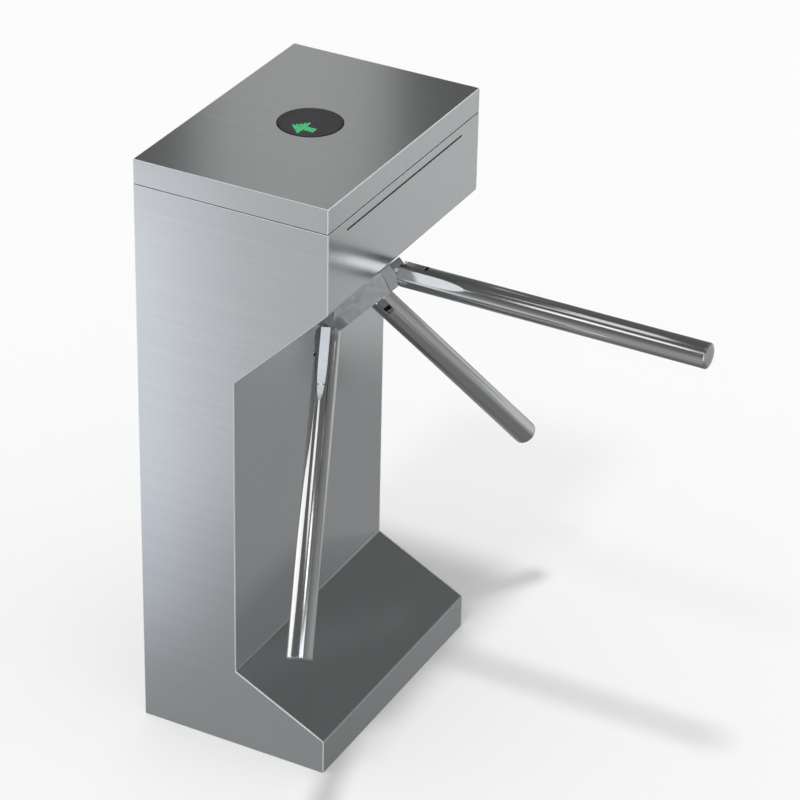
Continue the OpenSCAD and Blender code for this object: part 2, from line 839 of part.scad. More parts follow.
// a pawl in the disc's plane: the nose hangs over a notch, the eye turns on its pin
nose_half = 4;
nose_flare = 1;
eye_r = 9;
function pawl_outline() = [
    [-nose_half, lock_r + run], [nose_half, lock_r + run],
    [nose_half + nose_flare, lock_r + nose_travel], [pawl_arm - 2 * eye_r, lock_r + pawl_back / 3],
    [pawl_arm - eye_r, pawl_y], [pawl_arm, pawl_y + eye_r], [pawl_arm - eye_r, pawl_top],
    [-nose_half, pawl_top]
];
module pawl(side) {
    on_shaft(lock_z0) flip(side) difference() {
        union() {
            linear_extrude(lock_t) polygon(pawl_outline());
            translate([pawl_arm, pawl_y, 0]) cylinder(h = lock_t, r = eye_r);
        }
        translate([pawl_arm, pawl_y, -over])
            cylinder(h = lock_t + 2 * over, d = pawl_pin_d + 2 * fit);
    }
}

module pawl_far() { color("orange") pawl(1); }
module pawl_near() { color("orange") pawl(-1); }

pin_head = 4;
module pawl_pins() {
    color("silver") for (side = [-1, 1]) on_shaft() translate([pawl_arm, side * pawl_y, 0]) {
        translate([0, 0, lock_z0 - pin_head])
            cylinder(h = plate_z + plate_t - lock_z0 + pin_head, d = pawl_pin_d);
        translate([0, 0, lock_z0 - pin_head])
            cylinder(h = pin_head - run, d = 1.6 * pawl_pin_d);
        translate([0, 0, lock_z0 + lock_t + run])
            cylinder(h = plate_z - lock_z0 - lock_t - run, d = 1.6 * pawl_pin_d);
    }
}

// each solenoid lies on a foot from the plate and pushes its pawl with a round plunger
solenoid_mid = lock_z0 + lock_t / 2;
foot_wall = 4;
foot_base = 3;
bore_share = 0.7;
plunger_share = 0.4;
module solenoid(side) {
    on_shaft(solenoid_mid) flip(side) translate([tail_x, 0, 0]) difference() {
        union() {
            translate([0, solenoid_y, 0]) rotate([-90, 0, 0])
                cylinder(h = solenoid_len, d = solenoid_d);
            block([-solenoid_d / 2, solenoid_y, 0],
                  [solenoid_d / 2, solenoid_y + foot_wall, plate_z - solenoid_mid]);
            block([-solenoid_d / 2, solenoid_y, plate_z - solenoid_mid - foot_base],
                  [solenoid_d / 2, solenoid_y + solenoid_len, plate_z - solenoid_mid]);
        }
        translate([0, solenoid_y - over, 0]) rotate([-90, 0, 0])
            cylinder(h = solenoid_len * bore_share, d = plunger_d + 2 * run);
    }
}

module lock_solenoids() {
    color("firebrick") {
        solenoid(1);
        solenoid(-1);
    }
}

module plunger(side) {
    on_shaft(solenoid_mid) flip(side)
        translate([tail_x, pawl_top + run + plunger_d / 2, 0]) {
            sphere(d = plunger_d);
            rotate([-90, 0, 0])
                cylinder(h = solenoid_gap + solenoid_len * plunger_share, d = plunger_d);
        }
}

module plunger_far() { color("silver") plunger(1); }
module plunger_near() { color("silver") plunger(-1); }

// three windows in the code disc pass through the light barrier's fork
code_r = 42;
code_slot_in = 10;
code_slot_rim = 4;
code_slot_half = 4;
module encoder_disc() {
    color("black") on_shaft(code_z) difference() {
        cylinder(h = code_t, r = code_r);
        translate([0, 0, -over]) cylinder(h = code_t + 2 * over, d = shaft_d + 2 * fit);
        rotate([0, 0, 180]) around(arms)
            block([code_r - code_slot_in, -code_slot_half, -over],
                  [code_r - code_slot_rim, code_slot_half, code_t + over]);
    }
}

barrier_half = 8;
barrier_in = 12;
fork_play = 2;
fork_low = 4;
fork_high = 1;
module light_barrier() {
    low = code_z - fork_play - fork_low;
    high = code_z + code_t + fork_play + fork_high;
    color("black") on_shaft() {
        difference() {
            block([-barrier_x, -barrier_half, low], [-code_r + barrier_in, barrier_half, high]);
            block([-code_r - fork_play - fork_high, -barrier_half - over, code_z - fork_play],
                  [-code_r + barrier_in + over, barrier_half + over,
                   code_z + code_t + fork_play]);
        }
        block([-barrier_x, -barrier_half, high - fork_high],
              [barrier_t - barrier_x, barrier_half, plate_z]);
    }
}

nut_wall = 8;
module shaft_nut() {
    color("gray") on_shaft(code_z - nut_t) difference() {
        hex(shaft_d + 2 * nut_wall, nut_t);
        translate([0, 0, -over]) cylinder(h = nut_t + 2 * over, d = shaft_d + 2 * fit);
    }
}

// the hub: a three-sided body with a turned rim, and three lobes whose bevelled ends face the
// arms' roots
hub_front = hub_gap + hub_t;
root_gap = 1;
hub_screws_n = 3;
hub_screw_d = 8;
hub_screw_in = 10;
hub_screw_r = disc_d / 2 - hub_screw_in;
cap_seat = 3;
cap_bevel_in = 1;
cap_lap = 5;
well_depth = 12;
well_z = hub_front - well_depth;
function lobe_point(k, r, u) =
    let (a = 180 + 360 * k / arms) [r * cos(a) - u * sin(a), r * sin(a) + u * cos(a)];
function side_point(k, r, u) =
    let (a = 180 + 360 * (k + 0.5) / arms) [r * cos(a) - u * sin(a), r * sin(a) + u * cos(a)];
// the turned rim takes a little off the body's corners at the back too
rim_cut = 0.8;
rim_r = norm([side_r, side_half]) - rim_cut;
// the lobe's flank runs from the lobe's end through the end of the long side, and on inwards
flank_in_share = 2;
function flank(k) =
    let (tip = lobe_point(k, lobe_r, lobe_half), heel = side_point(k, side_r, -side_half))
        tip + (heel - tip) * flank_in_share;
function flank_back(k) =
    let (tip = lobe_point(k, lobe_r, -lobe_half), heel = side_point(k - 1, side_r, side_half))
        tip + (heel - tip) * flank_in_share;
module hub_blank() {
    intersection() {
        linear_extrude(hub_t) polygon([
            for (k = [0 : arms - 1]) each
                [side_point(k, side_r, -side_half), side_point(k, side_r, side_half)]
        ]);
        cylinder(h = hub_t, r1 = rim_r, r2 = rim_r - rim_taper);
    }
    for (k = [0 : arms - 1]) linear_extrude(hub_t) polygon([
        flank_back(k), lobe_point(k, lobe_r, -lobe_half), lobe_point(k, lobe_r, lobe_half), flank(k)
    ]);
}

module hub_body() {
    color("silver") difference() {
        on_shaft(hub_gap) hub_blank();
        for (k = [0 : arms - 1]) on_arm(k) {
            translate([-lobe_r, -lobe_r, root_at - root_gap]) cube(2 * lobe_r);
            tongue_root(fit);
        }
        on_shaft(hub_gap - over) cylinder(h = disc_t + over, d = disc_d + 2 * fit);
        on_shaft(well_z) cylinder(h = hub_t, d = cap_d - 2 * cap_lap);
        on_shaft(hub_front - cap_seat) cylinder(h = cap_seat + over, d = cap_d + 2 * fit);
        on_shaft(hub_gap) around(hub_screws_n) translate([hub_screw_r, 0, 0])
            cylinder(h = hub_t, d = hub_screw_d + 2 * run);
    }
}

module hub_screws() {
    color("gray") on_shaft(hub_gap + disc_t) around(hub_screws_n)
        translate([hub_screw_r, 0, 0]) {
            cylinder(h = well_z - hub_gap - disc_t + fit, d = hub_screw_d);
            translate([0, 0, well_z - hub_gap - disc_t]) difference() {
                cylinder(h = hub_screw_d, d = 1.6 * hub_screw_d);
                translate([0, 0, hub_screw_d / 2]) hex(0.75 * hub_screw_d, hub_screw_d);
            }
        }
}

module hub_cap() {
    color("silver") on_shaft(hub_front - cap_seat) difference() {
        cylinder(h = cap_seat, d = cap_d);
        translate([0, 0, cap_seat]) rotate_extrude()
            translate([cap_d / 2, 0]) circle(r = cap_bevel_in, $fn = 4);
    }
}

// a tongue stands in each fork's slot, its root let into the hub's lobe
tongue_t = fork_slot_w - 2 * tongue_play;
pin_drop = arm_d / 2 - pin_in;
pin_at = root_at + pin_in;
tongue_low = 0.5;
tongue_short = 6;
tongue_end = root_at + fork_slot_len - tongue_short;
root_depth = 24;
root_up = 3;
root_down = 15;
shoulder = 6;
nose_round = 2;
module tongue_root(grow) {
    block([-root_up - grow, -tongue_t / 2 - grow, root_at - root_gap - root_depth - grow],
          [root_down + grow, tongue_t / 2 + grow, root_at - root_gap + over]);
}

module tongue() {
    top = tongue_low - arm_d / 2;
    difference() {
        union() {
            tongue_root(0);
            translate([0, tongue_t / 2, 0]) rotate([90, 0, 0]) linear_extrude(tongue_t)
                polygon([
                    [-root_up, root_at - root_gap],
                    [top + 2 * nose_round, root_at + shoulder],
                    [top, root_at + shoulder + root_up],
                    [top, tongue_end - nose_round], [top + nose_round, tongue_end],
                    [pin_drop, tongue_end],
                    [arm_d / 2 - root_gap, tongue_end - 2 * shoulder],
                    [arm_d / 2 - root_gap, root_at + shoulder - root_gap],
                    [root_down, root_at - root_gap]
                ]);
        }
        translate([pin_drop, -tongue_t, pin_at]) rotate([-90, 0, 0])
            cylinder(h = 2 * tongue_t, d = pin_d + 2 * fit);
    }
}

module hinge_tongues() {
    color("gray") for (k = [0 : arms - 1]) on_arm(k) tongue();
}

// each pin's ends are ground to the round of the arm
module hinge_pins() {
    color("silver") for (k = [0 : arms - 1]) on_arm(k) intersection() {
        translate([pin_drop, -arm_d / 2, pin_at]) rotate([-90, 0, 0])
            cylinder(h = arm_d, d = pin_d);
        translate([0, 0, root_at]) cylinder(h = 2 * pin_in, d = arm_d);
    }
}

// an arm: a machined fork and a tube, welded and polished as one piece
tube_at = root_at + fork_len;
flat_turn = 30;
run_share = 0.55;
run_steps = 6;
function run_out(r) = [
    for (k = [0 : run_steps])
        let (t = k / run_steps)
            [r - flat_depth * (1 - t * t), flat_len * (1 - run_share * (1 - t))]
];
module arm() {
    r = arm_d / 2;
    difference() {
        translate([0, 0, root_at]) cylinder(h = arm_reach - cap_t - root_at, r = r);
        // the two flats on its upper half, which run out along the tube
        for (side = [-1, 1]) flip(side) rotate([0, 0, flat_turn]) translate([-r, 0, root_at])
            rotate([90, 0, 90]) linear_extrude(2 * r)
                polygon(concat([[r + over, -over], [r - flat_depth, -over]], run_out(r),
                               [[r + over, flat_len]]));
        // the slot for the tongue
        block([-r - over, -fork_slot_w / 2, root_at - over],
              [r + over, fork_slot_w / 2, root_at + fork_slot_len]);
        // the rounded lower corner, about the pin
        difference() {
            block([pin_drop, -r - over, root_at - over], [r + over, r + over, pin_at]);
            translate([pin_drop, -r - 2 * over, pin_at]) rotate([-90, 0, 0])
                cylinder(h = 2 * r + 4 * over, r = pin_in);
        }
        translate([pin_drop, -r - over, pin_at]) rotate([-90, 0, 0])
            cylinder(h = 2 * r + 2 * over, d = pin_d + 2 * pin_play);
        // bored out from the tube's side, and the tube itself
        translate([0, 0, root_at + fork_slot_len + fork_web])
            cylinder(h = fork_len, r = r - 3 * arm_wall);
        translate([0, 0, tube_at]) cylinder(h = arm_reach, r = r - arm_wall);
    }
}

module end_cap() {
    r = arm_d / 2;
    plug = r - arm_wall - fit;
    translate([0, 0, arm_reach - cap_t]) rotate_extrude()
        polygon([[0, -plug_len], [plug, -plug_len], [plug, 0], [r, 0], [r, cap_t - cap_bevel],
                 [r - cap_bevel, cap_t], [0, cap_t]]);
}

module arm_1() { color("lightgray") on_arm(0) arm(); }
module arm_2() { color("lightgray") on_arm(1) arm(); }
module arm_3() { color("lightgray") on_arm(2) arm(); }
module arm_1_end_cap() { color("lightgray") on_arm(0) end_cap(); }
module arm_2_end_cap() { color("lightgray") on_arm(1) end_cap(); }
module arm_3_end_cap() { color("lightgray") on_arm(2) end_cap(); }

// equipment on the inside of the recess wall
panel_up = 60;
panel_z = foot_h + foot_rise + panel_up;
panel_h = face_low - panel_drop - panel_z;
panel_t = 2;
panel_x = wall_x - sheet - panel_off;
boss_r = 6;
boss_in = 20;
vents = 8;
function row(count, i, length) = (i + 0.5) * length / count;

module equipment_panel() {
    color("gainsboro") {
        block([panel_x - panel_t, -panel_w / 2, panel_z], [panel_x, panel_w / 2, panel_z + panel_h]);
        for (y = [-1, 1], z = [boss_in, panel_h - boss_in])
            translate([panel_x - panel_t / 2, y * (panel_w / 2 - boss_in), panel_z + z])
                rotate([0, 90, 0]) cylinder(h = panel_off + panel_t / 2, r = boss_r);
    }
}

supply = [45, 110, 190];
supply_edge = 15;
vent_w = 6;
vent_depth = 2;
module power_supply() {
    low = [panel_x - panel_t - supply[0], -panel_w / 2 + supply_edge, panel_z + supply_edge];
    color("gray") difference() {
        block(low, low + supply);
        for (i = [0 : vents - 1])
            block([low[0] - over, low[1] + supply_edge, low[2] + row(vents, i, supply[2]) - vent_w / 2],
                  [low[0] + vent_depth, low[1] + supply[1] - supply_edge,
                   low[2] + row(vents, i, supply[2]) + vent_w / 2]);
    }
}

pcb = [140, 200];
pcb_off = 8;
relays = 6;
relay = [16, 20, 14];
chip = [3, 30, 30];
plugs = [12, 12, 150];
module control_board() {
    low = [panel_x - panel_t - pcb_off - board_t, panel_w / 2 - supply_edge - pcb[0],
           panel_z + supply_edge];
    over_board = low[0] + fit;
    color("darkgreen") block(low, low + [board_t, pcb[0], pcb[1]]);
    color("gainsboro") for (y = [boss_r, pcb[0] - boss_r], z = [boss_r, pcb[1] - boss_r])
        translate([low[0] + board_t / 2, low[1] + y, low[2] + z])
            rotate([0, 90, 0]) cylinder(h = pcb_off + board_t / 2, d = boss_r);
    color("royalblue") for (i = [0 : relays - 1])
        block([over_board - relay[0], low[1] + pcb[0] - 2 * relay[1],
               low[2] + row(relays, i, pcb[1]) - relay[2] / 2],
              [over_board, low[1] + pcb[0] - relay[1], low[2] + row(relays, i, pcb[1]) + relay[2] / 2]);
    color("black") block([over_board - chip[0], low[1] + pcb[0] / 3, low[2] + pcb[1] / 2],
                         [over_board, low[1] + pcb[0] / 3 + chip[1], low[2] + pcb[1] / 2 + chip[2]]);
    color("seagreen") block([over_board - plugs[0], low[1] + supply_edge / 2, low[2] + supply_edge],
                            [over_board, low[1] + supply_edge / 2 + plugs[1],
                             low[2] + supply_edge + plugs[2]]);
}

side_plate_near();
side_plate_far();
front_sheet();
rear_frame();
base_plate();
top_frame();
lid_gasket();
top_lid();
indicator_lens();
lens_ring();
indicator_board();
arrow_lamps();
slot_window();
lamp_strip();
hinge_frame_leaves();
lid_hinge_leaf();
door_hinge_leaf();
hinge_rods();
lid_catch();
latch_bracket();
lid_latch();
service_door();
door_lock();
door_lock_cam();
bearing_housing();
housing_fasteners();
shaft_seal();
bearing_outer_rings();
bearing_inner_rings();
bearing_balls();
bearing_spacer();
main_shaft();
mechanism_plate();
drive_gear();
drive_motor();
motor_pinion();
lock_disc();
pawl_far();
pawl_near();
pawl_pins();
lock_solenoids();
plunger_far();
plunger_near();
encoder_disc();
light_barrier();
shaft_nut();
hub_body();
hub_screws();
hub_cap();
hinge_tongues();
hinge_pins();
arm_1();
arm_2();
arm_3();
arm_1_end_cap();
arm_2_end_cap();
arm_3_end_cap();
equipment_panel();
power_supply();
control_board();
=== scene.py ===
# %% [markdown]
# A waist-high tripod turnstile: a brushed stainless cabinet with a recess on its passage side, a
# slanted face that carries a cast hub, and three polished arms. The construction comes packed, so
# this script loads it as a fixed frame. It gives every piece its finish and its soft edges, makes
# the lens and the arms' end caps anew with rounded rims, and sets up the floor, light and camera.
# Each step below says what the piece or the finish is on the real object, and why it is made so.

import json
import math

import bpy
import numpy as np
from mathutils import Matrix, Vector


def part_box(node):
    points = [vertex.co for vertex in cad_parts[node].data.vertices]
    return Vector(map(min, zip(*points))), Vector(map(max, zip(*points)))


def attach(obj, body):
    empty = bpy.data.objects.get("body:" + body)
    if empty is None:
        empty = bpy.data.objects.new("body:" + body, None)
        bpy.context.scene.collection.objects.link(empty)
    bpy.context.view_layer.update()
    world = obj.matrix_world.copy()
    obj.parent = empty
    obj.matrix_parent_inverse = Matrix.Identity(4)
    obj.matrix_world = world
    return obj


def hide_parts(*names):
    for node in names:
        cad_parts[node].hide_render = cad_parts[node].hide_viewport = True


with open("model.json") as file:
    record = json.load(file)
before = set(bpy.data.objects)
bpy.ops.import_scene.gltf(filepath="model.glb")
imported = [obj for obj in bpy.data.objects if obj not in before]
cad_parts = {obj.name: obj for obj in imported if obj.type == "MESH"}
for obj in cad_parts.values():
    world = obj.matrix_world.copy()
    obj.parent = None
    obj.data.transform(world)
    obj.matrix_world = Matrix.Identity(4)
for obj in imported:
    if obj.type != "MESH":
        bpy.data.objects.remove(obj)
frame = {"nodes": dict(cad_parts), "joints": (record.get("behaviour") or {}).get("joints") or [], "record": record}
nodes = frame["nodes"]
body_of = {n: body for body, names in frame["record"]["behaviour"]["bodies"].items() for n in names}
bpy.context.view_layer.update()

# %% [markdown]
# Sizes are read from the frame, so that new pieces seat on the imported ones. Blender counts in
# metres, but sheet edges, lamps and screws are a few millimetres across, so a millimetre gets its
# own name. The lens stands a little proud of the lid, and the two boxes give that height.

# %% Read the main sizes
MM = 0.001
scene = bpy.context.scene


def low_high(node):
    """The low and the high corner of a node, as arrays in metres."""
    low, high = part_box(node)
    return np.array(low), np.array(high)


LID_HIGH = low_high("top_lid")[1]
LENS_LOW, LENS_HIGH = low_high("indicator_lens")
print("the lens stands", ((LENS_HIGH - LID_HIGH)[2] / MM).round(2), "mm above the lid")

# %% [markdown]
# Shader maths reads best as a formula. A small class holds one output of a shader node and gives
# it the usual operators, so that `1 - grain * 0.2` adds the Math nodes by itself.

# %% Shader formulas
class Signal:
    """One output of a shader node, with operators that add Math nodes."""

    def __init__(self, finish, socket):
        self.finish = finish
        self.socket = socket

    def math(self, operation, *values):
        return self.finish.node("ShaderNodeMath", {"operation": operation}, *values)

    def __add__(self, other):
        return self.math("ADD", self, other)

    def __radd__(self, other):
        return self.math("ADD", other, self)

    def __sub__(self, other):
        return self.math("SUBTRACT", self, other)

    def __rsub__(self, other):
        return self.math("SUBTRACT", other, self)

    def __mul__(self, other):
        return self.math("MULTIPLY", self, other)

    def __rmul__(self, other):
        return self.math("MULTIPLY", other, self)

    def between(self, low, high):
        """0 below low, 1 above high, and smooth in between."""
        settings = {"interpolation_type": "SMOOTHSTEP"}
        return self.finish.node("ShaderNodeMapRange", settings, self, low, high, 0.0, 1.0)


# %% [markdown]
# Everything that isn't plain arithmetic goes through one method, which adds any node with its
# settings and inputs. The other methods are short names for what most finishes need: the piece's
# own coordinates, noise, a mix of two colours, a relief, and the surface that ends the tree.

# %% Node trees
class Finish:
    """The node tree of one material or of the world, while it is being built."""

    def __init__(self, owner):
        self.owner = owner
        owner.use_nodes = True
        self.tree = owner.node_tree
        self.tree.nodes.clear()

    def node(self, kind, settings=None, *values, out=0, **named):
        """Adds a node: its settings, then the values or signals of its inputs, by place or name."""
        made = self.tree.nodes.new(kind)
        settings = dict(settings or {})
        stops = settings.pop("stops", None)
        for key, value in settings.items():
            setattr(made, key, value)
        if stops:
            ramp = made.color_ramp
            while len(ramp.elements) < len(stops):
                ramp.elements.new(1.0)
            for element, (place, colour) in zip(ramp.elements, stops):
                element.position, element.color = place, (*colour, 1.0)
        for place, value in [*enumerate(values), *named.items()]:
            self.feed(made.inputs[place], value)
        return Signal(self, made.outputs[out]) if made.outputs else None

    def feed(self, socket, value):
        """Links a signal to a socket, or sets a plain value on it."""
        if isinstance(value, Signal):
            self.tree.links.new(value.socket, socket)
        elif hasattr(socket.default_value, "__len__") and len(socket.default_value) == 4:
            socket.default_value = (*value, 1.0)
        else:
            socket.default_value = value

    def place(self, scale=(1, 1, 1)):
        """The object's own coordinates, in metres, multiplied by a scale for each axis."""
        where = self.node("ShaderNodeTexCoord", out="Object")
        return self.node("ShaderNodeVectorMath", {"operation": "MULTIPLY"}, where, scale)

    def noise(self, scale, detail=2.0):
        """Smooth noise from 0 to 1 with its own scale for each axis, in periods a metre."""
        return self.node("ShaderNodeTexNoise", None, self.place(scale), Scale=1.0, Detail=detail)

    def mix(self, share, first, second):
        """A colour between two colours."""
        made = self.tree.nodes.new("ShaderNodeMix")
        made.data_type = "RGBA"
        self.feed(made.inputs["Factor"], share)
        self.feed(made.inputs[6], first)
        self.feed(made.inputs[7], second)
        return Signal(self, made.outputs[2])

    def shaded(self, colour, factor):
        """A colour made darker or lighter by a factor that changes over the surface."""
        return self.node("ShaderNodeVectorMath", {"operation": "SCALE"}, colour, Scale=factor)

    def bump(self, height, distance, strength=1.0):
        """A normal bent by a height pattern, whose full step is distance in metres."""
        return self.node("ShaderNodeBump", None, Height=height, Distance=distance,
                         Strength=strength)

    def surface(self, **inputs):
        """Ends the tree in a Principled surface."""
        shader = self.node("ShaderNodeBsdfPrincipled", None, **{
            name.replace("_", " "): value for name, value in inputs.items()})
        self.node("ShaderNodeOutputMaterial", None, shader)
        return self.owner


def finish(name):
    return Finish(bpy.data.materials.new(name))


# %% [markdown]
# Brushed stainless sheet is ground with a belt, so thousands of fine parallel scratches run one
# way. They spread a reflection across the grain and leave it fairly sharp along it. An anisotropic
# shader could do that too, but it shows no single scratches. A noise that changes nearly a
# thousand times a metre across the grain and only a few times along it gives the scratches in the
# bump, and a slower one the faint streaks in tone. On the upright sheets the grain lies level, so
# the pattern changes with Z. On the lid the grain runs from side to side, along X.

# %% Brushed stainless steel
GRAIN_ACROSS, GRAIN_ALONG = 900, 6
STREAKS_ACROSS, STREAKS_ALONG = 120, 1.5
SCRATCH_DEPTH = 0.00006
SHEET_COLOUR = (0.62, 0.63, 0.635)
SHEET_ROUGHNESS = 0.21


def brushed_steel(name, grain):
    """Steel whose scratches change along the axis that grain marks with 1. Its shade is a sum of
    scratches, streaks and clouds whose mean is 1."""
    f = finish(name)
    scratch = f.noise([GRAIN_ACROSS if g else GRAIN_ALONG for g in grain], detail=3)
    streak = f.noise([STREAKS_ACROSS if g else STREAKS_ALONG for g in grain])
    cloud = f.noise((3, 3, 3))
    shade = scratch * 0.05 + streak * 0.07 + cloud * 0.06 + 0.91
    return f.surface(
        Base_Color=f.shaded(SHEET_COLOUR, shade), Metallic=1.0,
        Roughness=SHEET_ROUGHNESS + (scratch - 0.5) * 0.08 + (cloud - 0.5) * 0.05,
        Normal=f.bump(scratch, SCRATCH_DEPTH, 0.3))


print("grain:", GRAIN_ACROSS, "periods a metre across it,", GRAIN_ALONG, "along it")

# %% [markdown]
# The arms are polished tube. Polishing leaves it nearly a mirror, with a faint haze and some
# barely visible wiping marks, so the roughness is low and varies only a little. Two plain noises
# are enough, a coarse one for the haze and a finer one for the marks.

# %% Polished stainless steel
def polished_steel():
    f = finish("polished_stainless_steel")
    wipe = f.noise((40, 40, 40), detail=3)
    haze = f.noise((9, 9, 9))
    return f.surface(
        Base_Color=f.mix(haze, (0.66, 0.66, 0.66), (0.71, 0.71, 0.705)), Metallic=1.0,
        Roughness=0.12 + haze * 0.05, Normal=f.bump(wipe, 0.00005, 0.2))


# %% [markdown]
# Turned, ground and cast metal differ in colour, in roughness and in how coarse their marks are.
# So one function makes them all, with the marks as a noise at their real scale. Cast iron has the
# deepest grit, and the satin cast metal of the hub the widest and softest marks.

# %% Ground and cast metal
def ground_metal(name, colour, rough, mark=300, grit=0.00004):
    """Bare metal with fine tool marks and a slight unevenness of tone, whose mean is 1."""
    f = finish(name)
    marks = f.noise((mark, mark, mark), detail=3)
    cloud = f.noise((25, 25, 25))
    shade = marks * 0.12 + cloud * 0.10 + 0.89
    return f.surface(Base_Color=f.shaded(colour, shade), Metallic=1.0,
                     Roughness=rough + (marks - 0.5) * 0.12, Normal=f.bump(marks, grit, 0.4))


# %% [markdown]
# Powder paint, rubber and moulded plastic are one colour under a grainy skin. Dust settles in
# patches and makes them a little paler and duller, which a slow noise with soft limits gives.

# %% Paint, rubber and plastic
def coated(name, colour, rough, grain=900, relief=0.0002):
    """A grainy skin over one colour, a little worn and dusty."""
    f = finish(name)
    skin = f.noise((grain, grain, grain))
    dust = f.noise((14, 14, 14), detail=4)
    lighter = [min(1.0, c * 1.35 + 0.01) for c in colour]
    return f.surface(Base_Color=f.mix(dust.between(0.35, 0.8), colour, lighter),
                     Roughness=rough + (dust - 0.5) * 0.15, Normal=f.bump(skin, relief, 0.5))


# %% [markdown]
# The lens is a dark acrylic disc that lets the lit arrow under it show. Glass-like refraction
# would need many light paths, so the pane is a glossy dark surface that is partly see-through. A
# ray crosses it twice, through its face and its underside, so each of the two lets through more
# than the whole pane does. The lamps glow green, a little unevenly.

# %% Smoked acrylic and lit lamps
def smoked_acrylic():
    """A dark glossy pane that lets a lit lamp behind it show."""
    f = finish("smoked_acrylic")
    haze = f.noise((30, 30, 30))
    return f.surface(Base_Color=(0.022, 0.021, 0.024), Roughness=0.06 + haze * 0.05, IOR=1.45,
                     Alpha=0.72)


def lit_lamp():
    """A small green lamp, with a mottled glow."""
    f = finish("lit_green_lamp")
    spot = f.noise((700, 700, 700), detail=1)
    glow = f.mix(spot, (0.02, 0.55, 0.16), (0.10, 0.95, 0.38))
    return f.surface(Base_Color=(0.02, 0.30, 0.10), Emission_Color=glow, Emission_Strength=10.0,
                     Roughness=0.35)


# %% [markdown]
# The circuit boards are green laminate. Their tracks lie in rows, and seen from outside only a
# regular net of lighter lines is left of them. A brick pattern gives that net in one node.

# %% Circuit board
TRACKS_PER_METRE = 90.0
TRACK_SHARE = 0.02


def board():
    """Green laminate with the squares of its copper tracks faintly showing."""
    f = finish("green_laminate")
    tracks = f.node("ShaderNodeTexBrick", {"offset": 0.5}, f.place(), (0.010, 0.085, 0.035),
                    (0.016, 0.13, 0.055), (0.03, 0.17, 0.07), TRACKS_PER_METRE, TRACK_SHARE)
    weave = f.noise((1200, 1200, 1200), detail=1)
    return f.surface(Base_Color=tracks, Roughness=0.38 + weave * 0.1,
                     Normal=f.bump(weave, 0.00003))


# %% [markdown]
# The record names a material slot for each node. One table gives each slot its finish, so every
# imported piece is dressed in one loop. Only the lid differs, because its grain runs another way.

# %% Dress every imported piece
FINISHES = {
    "brushed_stainless": brushed_steel("brushed_stainless_steel", (0, 0, 1)),
    "polished_stainless": polished_steel(),
    "machined_steel": ground_metal("ground_steel", (0.55, 0.55, 0.56), 0.30),
    "cast_aluminium": ground_metal("satin_cast_metal", (0.62, 0.63, 0.64), 0.22, mark=120),
    "cast_iron": ground_metal("cast_iron", (0.16, 0.17, 0.18), 0.55, mark=400, grit=0.0004),
    "painted_steel": coated("dark_powder_paint", (0.10, 0.105, 0.11), 0.5),
    "yellow_brass": ground_metal("machined_brass", (0.72, 0.50, 0.20), 0.28),
    "black_rubber": coated("cellular_rubber", (0.018, 0.018, 0.018), 0.8, 500, 0.0004),
    "smoked_lens": smoked_acrylic(),
    "dark_plastic": coated("moulded_black_plastic", (0.02, 0.02, 0.022), 0.42),
    "circuit_board": board(),
    "green_lamp": lit_lamp(),
}
LID_STEEL = brushed_steel("brushed_lid_steel", (0, 1, 0))
SLOT_OF = {s["node"]: s["material_slot"] for s in frame["record"]["subparts"]}


def dress(piece, material):
    """Gives a piece one material in its first slot."""
    piece.data.materials.clear()
    piece.data.materials.append(material)


for name, piece in nodes.items():
    dress(piece, FINISHES[SLOT_OF[name]])
dress(nodes["top_lid"], LID_STEEL)
print("finishes", len(FINISHES), "on", len(nodes), "nodes")

# %% [markdown]
# The sheets' rounded edges carry a painted highlight: there the steel is painted pale and half matt,
# so it scatters light and shows as a thin bright line from any side. The rim round the lens gets
# painted shade instead, a dark steel that stands for the shadow gap round the lens. The distance
# from the middle of the lens tells the two apart.

# %% Edges with a painted highlight and painted shade
RIM_BLEND = 2 * MM


def painted_edge_highlight():
    """A painted highlight of pale half-matt steel, which turns to painted shade, a dark shadow gap, within the
    lens's reach.
    """
    f = finish("painted_highlight_edge")
    highlight_mottle = f.noise((220, 220, 220))
    middle = (LENS_LOW + LENS_HIGH) / 2
    reach = (LENS_HIGH - LENS_LOW)[0] / 2
    offset = f.node("ShaderNodeVectorMath", {"operation": "SUBTRACT"}, f.place(), middle)
    away = f.node("ShaderNodeVectorMath", {"operation": "LENGTH"}, offset, out="Value")
    highlight_painted = away.between(reach - RIM_BLEND, reach + RIM_BLEND)
    pale = f.mix(highlight_mottle, (0.66, 0.67, 0.68), (0.84, 0.85, 0.86))
    # The pale colour is a painted highlight on the edges, and the dark colour near the lens is painted shade.
    return f.surface(Base_Color=f.mix(highlight_painted, (0.30, 0.31, 0.31), pale),
                     Metallic=1.0 - highlight_painted * (0.95 - highlight_mottle * 0.20), Roughness=0.42)


# %% [markdown]
# No real edge is perfectly sharp. A folded or ground edge has a radius of about a millimetre, and
# it catches a thin line of light that the photograph shows on every corner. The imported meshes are
# loose triangles, so their corners are joined by a Weld modifier first, and a Bevel modifier then
# rounds the edges that turn by more than thirty degrees. The bevel is held back where edges meet,
# except on the side plates, where that left hardly any rounding.

# %% Rounded edges
WELD_REACH = 0.01 * MM
BEVEL_STEPS = 3
BEVEL_FROM_DEGREES = 30
RADIUS_MM = {
    "side_plate_near": 0.9, "side_plate_far": 0.9, "top_lid": 1.3, "front_sheet": 0.5,
    "rear_frame": 0.5, "service_door": 0.8, "hub_body": 1.2, "hinge_tongues": 0.8,
    "arm_1": 0.7, "arm_2": 0.7, "arm_3": 0.7, "lid_catch": 0.4, "latch_bracket": 0.4,
}
# The pieces whose edge bevels get the painted highlight.
EDGE_HIGHLIGHT_PIECES = ["side_plate_near", "side_plate_far", "top_lid", "front_sheet"]


